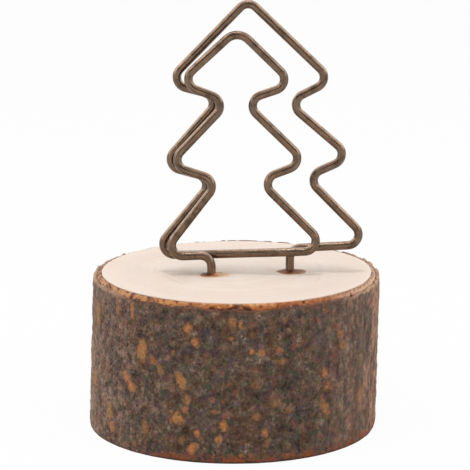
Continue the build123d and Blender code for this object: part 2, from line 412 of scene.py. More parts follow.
spot_mesh = bpy.data.meshes.new("lenticel_points")
spot_mesh.from_pydata([place for place, *rest in spots], [], [])
shapes = spot_mesh.attributes.new("shape", "FLOAT_VECTOR", "POINT")
shapes.data.foreach_set("vector", [value for spot in spots for value in spot[1:4]])
looks = spot_mesh.attributes.new("look", "FLOAT_VECTOR", "POINT")
looks.data.foreach_set("vector", [value for spot in spots for value in (*spot[4:], 0)])
spot_cloud = add_object("lenticel_points", spot_mesh)
spot_cloud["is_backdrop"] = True
print(f"{len(spots)} lenticels in all")

# %% [markdown]
# ## The outer bark as a surface
# The bark is a closed ring: up the outside, in over its torn upper edge, and down again against the
# inner bark. It starts from radii measured on the solid, row by row. Then a tree of geometry nodes
# roughens it: broad swellings, fine grain, upright ridges, lenticels, and a ragged edge at the saw
# cuts. Relief goes inwards from the solid's surface, so the slice never gets larger than it is.

# %% How worn the rim is
rim_bottom = 31.5 * mm  # the solid bark ends here, and the worn rim of inner bark begins
edge_changes = (  # turn and spread in degrees, and how much higher or lower the saw left the bark there
    (25, 25, 0.4 * mm), (75, 38, 0.85 * mm), (157, 18, 0.45 * mm), (281, 6, -0.45 * mm),
)
ring_turns = np.arange(ring_steps) * 360 / ring_steps
edge_heights = np.full(ring_steps, rim_bottom)
for turn, spread, change in edge_changes:
    edge_heights += change * np.exp(-((ring_turns - turn) / spread) ** 2)
print(f"edge of the bark {edge_heights.min() / mm:.2f} to {edge_heights.max() / mm:.2f} mm up")

# %% Measure the bark, row by row
bark_row_step = 0.29 * mm
stretch_bottom = 29 * mm  # above this the rows are spread up to the edge
shoulder_bottom = 30.6 * mm
edge_thickness = 0.75 * mm  # of the torn upper edge
foot_height, foot_wear = 1.2 * mm, 0.25 * mm  # the lower edge is a little worn
lip_share, lip_rise = 0.6, 0.06 * mm  # the torn edge is a little rounded
tuck_depth = 2.5 * mm  # how far the bark goes straight down again behind its edge
hair = 0.01 * mm  # keeps a measuring ray off the very edge of a solid
relief_heights = (0, 2 * mm, 29 * mm, rim_bottom)  # the bark is full in relief between the middle two

bark_heights = np.linspace(0, rim_bottom, ceil(rim_bottom / bark_row_step) + 1)
bark_rows = []
for height in bark_heights:
    level = float(min(max(height, foot_height), rim_bottom - hair))
    radii = radii_at(bark_surface, level, ring_steps, True)
    radii -= foot_wear * max(0, 1 - height / foot_height) ** 2
    if level > shoulder_bottom:
        radii = np.maximum(radii, wall_radii + edge_thickness)
    spread = max(0, (height - stretch_bottom) / (rim_bottom - stretch_bottom))
    bark_rows.append((radii, height + (edge_heights - rim_bottom) * spread))
bark_rows.append((wall_radii + edge_thickness * lip_share, edge_heights + lip_rise))
bark_rows += [(wall_radii, edge_heights), (wall_radii, rim_bottom - tuck_depth), (wall_radii, 0)]
outer_bark = ring_mesh("bark_skin", bark_rows, {
    "skin": [*np.interp(bark_heights, relief_heights, (0.4, 1, 1, 0.6)), 0.6, 0.6, 0, 0],
    "ledge": [0.0] * (len(bark_heights) - 2) + [0.4, 1, 1, 1, 0, 0],
})
print(f"bark: {len(bark_rows)} rows of {ring_steps} points")

# %% Start and end a tree of nodes
socket_kinds = {"Geometry": "Geometry", "Spots": "Object", "Material": "Material"}  # others are numbers


def new_tree(name, sizes):
    """A geometry node tree with an input for each of these sizes, and all of its inputs by name."""
    tree = bpy.data.node_groups.new(name, "GeometryNodeTree")
    tree.interface.new_socket("Geometry", in_out="OUTPUT", socket_type="NodeSocketGeometry")
    for socket_name in ("Geometry", *sizes, "Material"):
        kind = socket_kinds.get(socket_name, "Float")
        tree.interface.new_socket(socket_name, in_out="INPUT", socket_type="NodeSocket" + kind)
    outputs = add_node(tree, "NodeGroupInput").node.outputs
    return tree, {socket.name: socket for socket in outputs}


def end_tree(tree, shape, material):
    """The end of a node tree: the shape is made plain and gets its material."""
    shape = add_node(tree, "RealizeInstances", shape)
    shape = add_node(tree, "SetMaterial", shape, {2: material})
    add_node(tree, "NodeGroupOutput", shape)
    print(f"{tree.name}: {len(tree.nodes)} nodes")


print("inputs that aren't numbers:", ", ".join(socket_kinds))

# %% Nodes that roughen the bark
bark_sizes = {
    "Swelling depth": 0.10 * mm, "Swelling size": 6 * mm, "Knob depth": 0.13 * mm, "Knob size": 2.2 * mm,
    "Grain depth": 0.09 * mm, "Grain size": 0.9 * mm, "Ridge depth": 0.02 * mm, "Ridge size": 1.2 * mm,
    "Inset": 0.17 * mm, "Tear depth": 0.62 * mm, "Tear size": 2.2 * mm, "Edge height": rim_bottom,
    "Tear reach": 2 * mm, "Top height": 32.3 * mm, "Spot height": 0.2 * mm, "Spots": spot_cloud,
    "Seed": 3.0,
}
tree, bark_in = new_tree("rough_bark", bark_sizes)
place = add_node(tree, "InputPosition")
skin = add_node(tree, "InputNamedAttribute", "skin")


def relief(tree, where, seed, size, depth, detail=2.0):
    """Noise of one size, from minus to plus its depth: most of it is between a quarter and 0.75."""
    scale = add_node(tree, "Math DIVIDE", 1.0, size)
    noise = add_node(tree, "TexNoise", where, seed, scale, detail, 0.6, noise_dimensions="4D")
    centred = add_node(tree, "MapRange", noise, 0.25, 0.75, -1.0, 1.0)
    return add_node(tree, "Math MULTIPLY", centred, depth)


upright = add_node(tree, "VectorMath MULTIPLY", place, (1, 1, 0.16))
total = 0.0
for name, where, detail in (
    ("Swelling", place, 2.0), ("Grain", place, 3.0), ("Knob", place, 2.0), ("Ridge", upright, 2.0),
):
    size, depth = bark_in[name + " size"], bark_in[name + " depth"]
    layer = relief(tree, where, bark_in["Seed"], size, depth, detail)
    total = add_node(tree, "Math ADD", total, layer)
print("noise fields of the bark:", len(tree.nodes), "nodes")

# %% Nodes that raise the lenticels
spot_points = add_node(tree, "ObjectInfo", bark_in["Spots"], out=4)
nearest = add_node(tree, "SampleNearest", spot_points, place)
spot_fields = [
    add_node(tree, "InputNamedAttribute", name, data_type="FLOAT_VECTOR")
    for name in ("shape", "look")
]
spot_place, spot_shape, spot_look = [
    add_node(tree, "SampleIndex", spot_points, field, nearest, data_type="FLOAT_VECTOR")
    for field in (place, *spot_fields)
]
look_parts = add_node(tree, "SeparateXYZ", spot_look).node.outputs
shape_parts = add_node(tree, "SeparateXYZ", spot_shape).node.outputs
away = add_node(tree, "VectorMath SUBTRACT", place, spot_place)
away_up = add_node(tree, "SeparateXYZ", away, out=2)
sideways = add_node(tree, "VectorMath CROSS_PRODUCT", (0, 0, 1), spot_place)
sideways = add_node(tree, "VectorMath NORMALIZE", sideways)
away_across = add_node(tree, "VectorMath DOT_PRODUCT", away, sideways, out="Value")
slanted = add_node(tree, "Math MULTIPLY_ADD", away_up, shape_parts[2], away_across)
across_share = add_node(tree, "Math DIVIDE", slanted, shape_parts[0])
up_share = add_node(tree, "Math DIVIDE", away_up, shape_parts[1])
both_shares = add_node(tree, "CombineXYZ", across_share, up_share)
reach = add_node(tree, "VectorMath LENGTH", both_shares, out="Value")
wobble = relief(tree, place, bark_in["Seed"], 0.9 * mm, 0.5, 4.0)
torn_reach = add_node(tree, "Math ADD", reach, wobble)
spot = add_node(tree, "MapRange SMOOTHSTEP", torn_reach, 1.3, 0.3, 0.0, look_parts[1])
spot_rise = add_node(tree, "Math MULTIPLY", spot, bark_in["Spot height"])
print("with the lenticels:", len(tree.nodes), "nodes")

# %% Nodes that tear the edge, and the finished bark
height_now = add_node(tree, "SeparateXYZ", place, out=2)
edge_start = add_node(tree, "Math SUBTRACT", bark_in["Edge height"], bark_in["Tear reach"])
flat_place = add_node(tree, "VectorMath MULTIPLY", place, (1, 1, 0))
tear = relief(tree, flat_place, bark_in["Seed"], bark_in["Tear size"], bark_in["Tear depth"], 4.0)
near_edge = add_node(tree, "MapRange SMOOTHSTEP", height_now, edge_start, bark_in["Edge height"])
tear_here = add_node(tree, "Math MULTIPLY", tear, near_edge)
headroom = add_node(tree, "Math SUBTRACT", bark_in["Top height"], height_now)
tear_here = add_node(tree, "Math MINIMUM", tear_here, headroom)
tear_shift = add_node(tree, "CombineXYZ", {2: tear_here})

total = add_node(tree, "Math ADD", total, spot_rise)
total = add_node(tree, "Math SUBTRACT", total, bark_in["Inset"])
total = add_node(tree, "Math MINIMUM", total, 0.0)
total = add_node(tree, "Math MULTIPLY", total, skin)
outward = add_node(tree, "VectorMath NORMALIZE", flat_place)
sink = add_node(tree, "VectorMath SCALE", outward, {"Scale": total})
shift = add_node(tree, "VectorMath ADD", sink, tear_shift)
shape = bark_in["Geometry"]
for name, field in (("lenticel", spot), ("tint", look_parts[0]), ("sunk", total)):
    shape = add_node(tree, "StoreNamedAttribute", shape, {2: name, 3: field})
shape = add_node(tree, "SetPosition", shape, {3: shift})
end_tree(tree, shape, bark_in["Material"])

# %% [markdown]
# ## The colour of the bark
# Dry bark is never one brown. It is a fine grit of nearly black and grey-brown grains, about a third of
# a millimetre in size, with purplish, olive and rusty patches a millimetre wide. Where the relief is
# sunk it is painted darker, and lighter on the crests, as painted shade and light. Towards the sides it
# is paler, partly in its own tone and partly as painted light falling on the sides, with upright
# furrows. The lighter copper brown at its outline, where it turns away from the front, is partly its
# own colour and partly painted rim light. The lenticels are ochre to orange cork, in a darker margin
# that is partly painted shade round their foot, and where the bark was rubbed at its lower edge the
# orange layer shows. Its lowest half millimetre is painted darker, as shade at the table.
#
# Each change is a share from 0 to 1 of another colour. Where two conditions have to hold, the share
# of the first becomes the upper end of the second one's range, which multiplies them.

# %% Grain and patches of the bark
bark_material, tree = new_material("weathered_branch_bark")
where = add_node(tree, "TexCoord", out="Object")
side = add_node(tree, "SeparateXYZ", where).node.outputs
upright = add_node(tree, "Mapping", {"Vector": where, "Scale": (1, 1, 0.27)})
grit, mottle, patch, warmth = [
    add_node(tree, "TexNoise", {"Vector": where, "Scale": 1 / size, "Detail": detail, "Roughness": rough})
    for size, detail, rough in (
        (0.55 * mm, 3, 0.7), (1.7 * mm, 3, 0.65), (6 * mm, 2, 0.5), (3.2 * mm, 1, 0.5))
]
hue = add_node(tree, "TexNoise", {
    "Vector": where, "Scale": 1 / (1.3 * mm), "Detail": 2, "Roughness": 0.55}, out="Color")
hue_parts = add_node(tree, "SeparateColor", hue).node.outputs
streak = add_node(tree, "TexNoise", {
    "Vector": upright, "Scale": 1 / (2.3 * mm), "Detail": 4, "Roughness": 0.72, "Distortion": 1.0})
sunk, spot, tint, ledge = [
    add_node(tree, "Attribute", out="Fac", attribute_name=name)
    for name in ("sunk", "lenticel", "tint", "ledge")
]

level = add_node(tree, "Math MULTIPLY", grit, 0.5)
level = add_node(tree, "Math MULTIPLY_ADD", mottle, 0.5, level)
# painted shade and light: the bark is darker where its relief is sunk and lighter on its crests
relief_light_and_shade = add_node(tree, "MapRange", sunk, -0.45 * mm, 0.0, -0.08, 0.05)
level = add_node(tree, "Math ADD", level, relief_light_and_shade)
base = add_node(tree, "ValToRGB", level, stops=(
    (0.35, "#2a1a11"), (0.70, "#a8947f"), (0.43, "#433226"), (0.51, "#5a4838"), (0.60, "#766453")))
patch_level = add_node(tree, "MapRange", patch, 0.3, 0.7, 0.74, 1.26)
base = add_node(tree, "VectorMath SCALE", base, {"Scale": patch_level})
print("grain of the bark:", len(tree.nodes), "shader nodes")

# %% Paler sides with painted side light and rim light, and upright furrows at the right
all_round = 60 * mm  # a strip that ends this far back goes right round the slice
back_fade = 7 * mm  # over which a shorter strip ends
ragged = add_node(tree, "MapRange", streak, 0.3, 0.7, -2.5 * mm, 2.5 * mm)
ragged_side = add_node(tree, "Math ADD", side[0], ragged)
ragged_depth = add_node(tree, "Math MULTIPLY_ADD", ragged, 2.0, side[1])
# painted light: the sides are paler, partly in the bark's own tone and partly as light falling on them, and
# the outline seen from the front is lighter, partly as painted rim light
for near, far, back, least, most, pattern, hex_colour in (
    (-12 * mm, -28 * mm, all_round, 0.0, 0.75, level, "#a8856f"),
    (-27.2 * mm, -29 * mm, 5 * mm, 0.17, 0.85, streak, "#cfa688"),
    (15 * mm, 28 * mm, all_round, 0.2, 0.8, streak, "#a3806a"),
    (27.2 * mm, 29.2 * mm, 5 * mm, 0.475, 0.95, streak, "#c48e6b"),
):
    share = add_node(tree, "MapRange", pattern, 0.43, 0.58, least, most)
    share = add_node(tree, "MapRange SMOOTHSTEP", ragged_depth, back, back - back_fade, 0.0, share)
    share = add_node(tree, "MapRange SMOOTHSTEP", ragged_side, near, far, 0.0, share)
    base = add_node(tree, "Mix", share, {6: base, 7: hex_colour}, out=2, data_type="RGBA")
for near, far, most, pattern in ((9 * mm, 20 * mm, 0.55, streak), (-12 * mm, -24 * mm, 0.5, level)):
    furrow = add_node(tree, "MapRange", pattern, 0.47, 0.37, 0.0, most)
    furrow = add_node(tree, "MapRange", side[0], near, far, 0.0, furrow)
    base = add_node(tree, "Mix", furrow, {6: base, 7: "#3b2c25"}, out=2, data_type="RGBA")
print("with its paler sides:", len(tree.nodes), "shader nodes")

# %% Purple, olive and rusty grains, and a few large specks
for part, full, most, hex_colour in (
    (hue_parts[0], 0.64, 0.6, "#5e4253"), (hue_parts[1], 0.64, 0.6, "#4b553c"),
    (hue_parts[2], 0.66, 0.4, "#82553f"),
    (warmth, 0.64, 0.22, "#7b4f36"), (warmth, 0.36, 0.22, "#4b4849"),
):
    share = add_node(tree, "MapRange", part, 0.5, full, 0.0, most)
    base = add_node(tree, "Mix", share, {6: base, 7: hex_colour}, out=2, data_type="RGBA")

bent = add_node(tree, "VectorMath MULTIPLY", hue, (2 * mm, 2 * mm, 2 * mm))
bent = add_node(tree, "VectorMath ADD", where, bent)
speck = add_node(tree, "TexVoronoi", {"Vector": bent, "Scale": 1 / (2.7 * mm)})
speck_look = add_node(tree, "SeparateColor", speck.node.outputs["Color"]).node.outputs
speck_share = add_node(tree, "MapRange", speck, 0.34, 0.14, 0.0, 0.65)
speck_pick = add_node(tree, "Math GREATER_THAN", speck_look[0], 0.45)
speck_share = add_node(tree, "Math MULTIPLY", speck_share, speck_pick)
speck_base = add_node(tree, "Mix", speck_look[1], {6: "#94523c", 7: "#9a7c68"}, out=2, data_type="RGBA")
base = add_node(tree, "Mix", speck_share, {6: base, 7: speck_base}, out=2, data_type="RGBA")
# the brightness of the grain, which also carries the painted shade of the sunk relief
grain_and_relief_shade = add_node(tree, "MapRange", level, 0.38, 0.64, 0.77, 1.18)
base = add_node(tree, "VectorMath SCALE", base, {"Scale": grain_and_relief_shade})
print("with its grains and specks:", len(tree.nodes), "shader nodes")

# %% Cork, worn edges and the finish
cork_turn = add_node(tree, "MapRange", hue_parts[1], 0.35, 0.65, -0.45, 0.45)
cork_turn = add_node(tree, "Math ADD", cork_turn, tint, use_clamp=True)
cork = add_node(tree, "Mix", cork_turn, {6: "#9a7443", 7: "#ad6c42"}, out=2, data_type="RGBA")
cork_grain = add_node(tree, "MapRange", grit, 0.36, 0.62, 0.7, 1.25)
cork_core = add_node(tree, "MapRange", spot, 0.3, 1.0, 0.75, 1.2)
cork_level = add_node(tree, "Math MULTIPLY", cork_grain, cork_core)
cork = add_node(tree, "VectorMath SCALE", cork, {"Scale": cork_level})
# a darker margin round each lenticel: partly the bark's own dark rim, partly painted shade at the foot of
# the raised spot
brim_tone_and_shade = add_node(tree, "MapRange", spot, 0.0, 0.15, 1.0, 0.8)
base = add_node(tree, "VectorMath SCALE", base, {"Scale": brim_tone_and_shade})
spot_share = add_node(tree, "MapRange", spot, 0.12, 0.95, 0.0, 0.9)
base = add_node(tree, "Mix", spot_share, {6: base, 7: cork}, out=2, data_type="RGBA")

sideness = add_node(tree, "Math ABSOLUTE", side[0])
ledge_colour = add_node(tree, "MapRange", sideness, 20 * mm, 27 * mm)
ledge_base = add_node(tree, "Mix", ledge_colour, {6: "#6e4632", 7: "#c8a283"}, out=2, data_type="RGBA")
ledge_share = add_node(tree, "MapRange", mottle, 0.4, 0.6, 0.5, 1.0)
ledge_share = add_node(tree, "Math MULTIPLY", ledge, ledge_share)
least_worn, most_worn = 0.1275, 0.85  # at the left, and everywhere else
worn_share = add_node(tree, "MapRange", side[0], -20 * mm, -12 * mm, least_worn, most_worn)
worn_share = add_node(tree, "MapRange", mottle, 0.42, 0.56, 0.0, worn_share)
worn_share = add_node(tree, "MapRange", side[2], 2.1 * mm, 0.8 * mm, 0.0, worn_share)
for share, colour in ((ledge_share, ledge_base), (worn_share, "#94481f")):
    base = add_node(tree, "Mix", share, {6: base, 7: colour}, out=2, data_type="RGBA")
foot_shade = add_node(tree, "MapRange", side[2], 0.1 * mm, 0.6 * mm, 0.45, 1.0)
base = add_node(tree, "VectorMath SCALE", base, {"Scale": foot_shade})

normal = add_node(tree, "Bump", {"Height": level, "Strength": 0.9, "Distance": 0.5 * mm})
shader = add_node(tree, "BsdfPrincipled", {
    "Base Color": base, "Roughness": 0.86, "Specular IOR Level": 0.3, "Normal": normal})
add_node(tree, "OutputMaterial", {"Surface": shader})
print("the whole bark:", len(tree.nodes), "shader nodes")

# %% Finish the bark
def finish_mesh(piece, tree_name, sizes):
    """Run a node tree on a piece with these named inputs, and keep the result as its plain mesh."""
    modifier = piece.modifiers.new(tree_name, "NODES")
    modifier.node_group = bpy.data.node_groups[tree_name]
    for socket in modifier.node_group.interface.items_tree:
        if socket.in_out == "INPUT" and socket.name in sizes:
            modifier[socket.identifier] = sizes[socket.name]
    graph = bpy.context.evaluated_depsgraph_get()
    piece.data = bpy.data.meshes.new_from_object(
        piece.evaluated_get(graph), preserve_all_data_layers=True, depsgraph=graph)
    piece.modifiers.clear()
    piece.data.name = piece.name
    piece.data.calc_loop_triangles()
    print(f"{piece.name}: {len(piece.data.loop_triangles)} triangles")


finish_mesh(outer_bark, "rough_bark", bark_sizes | {"Material": bark_material})
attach(outer_bark, "base")
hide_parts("outer_bark")

# %% [markdown]
# ## The worn rim of inner bark
# Between the wood and the dark bark lies the inner bark, orange-brown and fibrous. The saw tore it and
# it dried, so it drew away from the wood and left a crack here and there. The crack and the pits are
# painted dark, as shade in them, and at the left the crumbs get painted golden highlights and painted
# shade in their hollows. The rim is a closed ring as well: a groove against the wood, a narrow top, a
# broken slope, and a wall down to the table.

# %% Profile of the inner bark
groove_depth = 0.5 * mm
slope_width = 0.7 * mm
wall_depth, crack_reach = 2.2 * mm, 3 * mm  # how far down the torn wall and the crack go
slope_points, wall_points = 9, 7
crack_radii = wood_radii + 0.02 * mm  # a hair outside the wood
top_radii = wall_radii - slope_width
rim_profile = [(crack_radii, 0, 0, 0), (wall_radii, 0, 0, 0)]  # radii, heights, skin and across of rows
for share in np.linspace(0, 1, wall_points):
    rim_profile.append((wall_radii, edge_heights - (1 - share) * wall_depth, share, 0.25 * share))
for share in np.linspace(0, 1, slope_points)[1:]:
    heights = edge_heights + (block_height - edge_heights) * share
    rim_profile.append((wall_radii - slope_width * share, heights, 1, 0.25 + 0.6 * share))
for share, drop in ((0.3, 0), (0.6, 0), (0.85, 0.1), (1, 1)):
    radii = top_radii + (crack_radii - top_radii) * share
    rim_profile.append((radii, block_height - groove_depth * drop, 1 - share / 2, 0.85 + 0.15 * share))
rim_profile.append((crack_radii, block_height - crack_reach, 0, 1))
inner_rim = ring_mesh("bast_rim", [row[:2] for row in rim_profile], {
    "skin": [row[2] for row in rim_profile], "across": [row[3] for row in rim_profile],
})
print(f"rim: {len(rim_profile)} rows of {ring_steps} points")

# %% Nodes that tear the inner bark
rim_sizes = {
    "Flake depth": 0.1 * mm, "Flake size": 1.1 * mm, "Pit depth": 0.35 * mm, "Pit size": 1.5 * mm,
    "Fibre depth": 0.05 * mm, "Fibre size": 0.5 * mm, "Seed": 5.0,
}
tree, rim_in = new_tree("torn_rim", rim_sizes)
place = add_node(tree, "InputPosition")
skin = add_node(tree, "InputNamedAttribute", "skin")
facing = add_node(tree, "InputNormal")
flakes = relief(tree, place, rim_in["Seed"], rim_in["Flake size"], rim_in["Flake depth"], 3.0)
fibres = relief(tree, place, rim_in["Seed"], rim_in["Fibre size"], rim_in["Fibre depth"], 2.0)
pit_noise = relief(tree, place, rim_in["Seed"], rim_in["Pit size"], 1.0, 1.0)
pits = add_node(tree, "MapRange SMOOTHSTEP", pit_noise, 0.25, 0.65)
pit_sink = add_node(tree, "Math MULTIPLY", pits, rim_in["Pit depth"])
total = add_node(tree, "Math ADD", flakes, fibres)
total = add_node(tree, "Math SUBTRACT", total, pit_sink)
total = add_node(tree, "Math SUBTRACT", total, rim_in["Flake depth"])
total = add_node(tree, "Math MULTIPLY", total, skin)
shift = add_node(tree, "VectorMath SCALE", facing, {"Scale": total})
shape = add_node(tree, "StoreNamedAttribute", rim_in["Geometry"], {2: "pit", 3: pits})
shape = add_node(tree, "SetPosition", shape, {3: shift})
end_tree(tree, shape, rim_in["Material"])

# %% Torn orange inner bark
bast_material, tree = new_material("torn_inner_bark")
where = add_node(tree, "TexCoord", out="Object")
side = add_node(tree, "SeparateXYZ", where).node.outputs
fibre, shade, crumb = [
    add_node(tree, "TexNoise", {"Vector": where, "Scale": 1 / size, "Detail": detail, "Roughness": rough})
    for size, detail, rough in ((0.9 * mm, 4, 0.7), (3.5 * mm, 2, 0.6), (1.5 * mm, 3, 0.65))
]
across = add_node(tree, "Attribute", out="Fac", attribute_name="across")
fibre_shift = add_node(tree, "MapRange", fibre, 0.3, 0.7, -0.4, 0.4)
shade_shift = add_node(tree, "MapRange", shade, 0.35, 0.65, -0.12, 0.12)
place = add_node(tree, "Math ADD", across, fibre_shift)
place = add_node(tree, "Math ADD", place, shade_shift)
base = add_node(tree, "ValToRGB", place, stops=(
    (0.0, "#452416"), (1.0, "#e2ac7c"), (0.28, "#7a4424"), (0.52, "#a85f30"), (0.78, "#c27b45")))
sideness = add_node(tree, "Math ABSOLUTE", side[0])
peach_share = add_node(tree, "MapRange", across, 0.25, 0.45, 0.14, 0.7)
peach_share = add_node(tree, "MapRange SMOOTHSTEP", sideness, 17 * mm, 27 * mm, 0.0, peach_share)
peach_colour = add_node(tree, "MapRange", side[0], -20 * mm, 20 * mm)
peach = add_node(tree, "Mix", peach_colour, {6: "#dca175", 7: "#f0c8a8"}, out=2, data_type="RGBA")
print("colours of the inner bark:", len(tree.nodes), "shader nodes")

# %% Painted shade in cracks and pits, crumbs with painted highlights and shade, and the finish of the inner bark
pit = add_node(tree, "Attribute", out="Fac", attribute_name="pit")
crack_lump = add_node(tree, "Math MULTIPLY_ADD", fibre_shift, 0.8, across)
crack_turn = add_node(tree, "MapRange", side[0], 13 * mm, 23 * mm, 0.0, 0.22)
crack_lump = add_node(tree, "Math ADD", crack_lump, crack_turn)
crack_left = add_node(tree, "MapRange", side[0], 0.0, -12 * mm, 0.0, 0.9)
crack_right = add_node(tree, "MapRange", side[0], 13 * mm, 20 * mm, 0.0, 0.8)
crack_depth = add_node(tree, "Math MAXIMUM", crack_left, crack_right)
crack = add_node(tree, "MapRange", crack_lump, 0.82, 0.98, 0.0, crack_depth)
crack = add_node(tree, "MapRange", crack_lump, 1.25, 1.12, 0.0, crack)
crumb_side = add_node(tree, "MapRange", side[0], -4 * mm, -12 * mm)
# painted highlight: golden light on the crumbs of the inner bark at the left
crumb_highlight = add_node(tree, "MapRange", crumb, 0.52, 0.42, 0.0, 0.6)
crumb_highlight = add_node(tree, "Math MULTIPLY", crumb_highlight, crumb_side)
# painted shade in the hollows between the crumbs at the left
crumb_hollow_shade = add_node(tree, "MapRange", crumb, 0.5, 0.55, 0.0, crumb_side)
# painted shade: the pits, the crack by the wood and the crumbs' hollows are darkened
pit_crack_and_hollow_shade = add_node(tree, "Math MAXIMUM", pit, crack)
pit_crack_and_hollow_shade = add_node(tree, "Math MAXIMUM", pit_crack_and_hollow_shade, crumb_hollow_shade)
pit_crack_and_hollow_shade = add_node(tree, "Math MULTIPLY", pit_crack_and_hollow_shade, 0.85)
for share, colour in ((peach_share, peach), (crumb_highlight, "#d39a5c"), (pit_crack_and_hollow_shade, "#432515")):
    base = add_node(tree, "Mix", share, {6: base, 7: colour}, out=2, data_type="RGBA")
normal = add_node(tree, "Bump", {"Height": fibre, "Strength": 0.7, "Distance": 0.2 * mm})
shader = add_node(tree, "BsdfPrincipled", {
    "Base Color": base, "Roughness": 0.75, "Specular IOR Level": 0.35, "Normal": normal})
add_node(tree, "OutputMaterial", {"Surface": shader})
print("the whole inner bark:", len(tree.nodes), "shader nodes")

finish_mesh(inner_rim, "torn_rim", rim_sizes | {"Material": bast_material})
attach(inner_rim, "base")
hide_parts("inner_bark")

# %% [markdown]
# ## The sawn wood
# The wood is pale and was sanded smooth, which leaves it matt. Its growth rings are faint: narrow
# pinkish lines round the pith, unevenly far apart. The band of sapwood outside them is painted a little
# darker than the wood, as shade that evens out the stronger light at the rim, and a thin line along the
# very edge is painted a little lighter, as a highlight. A flat picture of rings would smear down the
# sides, so they are worked out from the distance to the pith.
# The pores are finer than a pixel, so they are drawn as flecks of half a millimetre. The solid's own
# shape is right, so it stays and only gets its finish.

# %% Sanded end grain
wood_material, tree = new_material("sanded_pale_end_grain")
wood_radius = float(wood_radii.mean())
pith = (-0.8 * mm, 0.5 * mm)
hole_places = ((-4.625 * mm, -3.8 * mm), (11.675 * mm, -0.9 * mm))
where = add_node(tree, "TexCoord", out="Object")
wander, ring_fade, fleck, cloud = [
    add_node(tree, "TexNoise", {"Vector": where, "Scale": 1 / size, "Detail": detail})
    for size, detail in ((12 * mm, 1), (8 * mm, 2), (0.5 * mm, 3), (11 * mm, 2))
]
wander = add_node(tree, "MapRange", wander, 0.3, 0.7, -0.9 * mm, 0.9 * mm)
from_pith = add_node(tree, "Mapping", {
    "Vector": where, "Location": (-pith[0], -pith[1], 0), "Scale": (1, 1, 0)})
from_pith = add_node(tree, "VectorMath LENGTH", from_pith, out="Value")
radius = add_node(tree, "Math ADD", from_pith, wander)
turns = add_node(tree, "Math MULTIPLY", radius, 1 / (2.0 * mm))
ring = add_node(tree, "TexNoise", {"W": turns, "Scale": 1, "Detail": 2}, noise_dimensions="1D")
ring_fade = add_node(tree, "MapRange", ring_fade, 0.38, 0.65, 0.06, 0.4)
ring_share = add_node(tree, "MapRange", ring, 0.44, 0.68, 0.0, ring_fade)
cloud_share = add_node(tree, "MapRange", cloud, 0.4, 0.65, 0.0, 0.8)
base = "#f1e2d4"
for share, colour in ((cloud_share, "#ebdacb"), (ring_share, "#e0c0ac")):
    base = add_node(tree, "Mix", share, {6: base, 7: colour}, out=2, data_type="RGBA")
print("wood:", len(tree.nodes), "shader nodes")

# %% Sapwood with painted shade, a painted edge highlight, stains and the finish of the wood
stain_stretch = 1.4  # the glue soaked further across than towards the camera
stain_edge = 2.2 * mm
from_middle = add_node(tree, "Mapping", {
    "Vector": where, "Location": (-top_middle_x, 0, 0), "Scale": (1, 1, 0)})
from_middle = add_node(tree, "VectorMath LENGTH", from_middle, out="Value")
# the sapwood band is painted a little darker, as shade that evens out the stronger light at the rim, and
# the thin line at the edge a little lighter, as a painted highlight
for start, end, most, hex_colour in (
    (16 * mm, 23 * mm, 0.3, "#e6cfc2"), (23.5 * mm, 25.5 * mm, 0.8, "#eedccd"),
    (wood_radius - 1.0 * mm, wood_radius - 0.3 * mm, 0.8, "#f1dfcf"),
):
    share = add_node(tree, "MapRange SMOOTHSTEP", from_middle, start, end, 0.0, most)
    base = add_node(tree, "Mix", share, {6: base, 7: hex_colour}, out=2, data_type="RGBA")
fleck_level = add_node(tree, "MapRange", fleck, 0.3, 0.7, 0.96, 1.03)
base = add_node(tree, "VectorMath SCALE", base, {"Scale": fleck_level})
for (x, y), across, reach, strength in (
    (hole_places[0], 0.9 * mm, 4.4 * mm, 0.4), (hole_places[1], 0, 3.8 * mm, 0.55),
):
    stain = add_node(tree, "Mapping", {
        "Vector": where, "Location": (-x - across, -y * stain_stretch, -block_height),
        "Scale": (1, stain_stretch, 1)})
    stain = add_node(tree, "VectorMath LENGTH", stain, out="Value")
    stain = add_node(tree, "MapRange SMOOTHSTEP", stain, reach, reach - stain_edge, 0.0, strength)
    base = add_node(tree, "Mix", stain, {6: base, 7: "#d3a27a"}, out=2, data_type="RGBA")
normal = add_node(tree, "Bump", {"Height": fleck, "Strength": 0.25, "Distance": 0.05 * mm})
shader = add_node(tree, "BsdfPrincipled", {
    "Base Color": base, "Roughness": 0.65, "Specular IOR Level": 0.3, "Normal": normal})
add_node(tree, "OutputMaterial", {"Surface": shader})
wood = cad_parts["wood_slice"]
for slot in wood.material_slots:
    slot.link = "OBJECT"
    slot.material = wood_material
print("with its stains:", len(tree.nodes), "shader nodes, on", len(wood.material_slots), "slot")

# %% [markdown]
# ## The route of the wire
# One wire makes everything: up the left leg, round the small tree, across to the back, round the large
# tree and down the right leg. Its route is the list of corners where its straight runs would meet,
# with one bend radius for each. It repeats the sizes of the solids, whose hinge is on the bottom run.

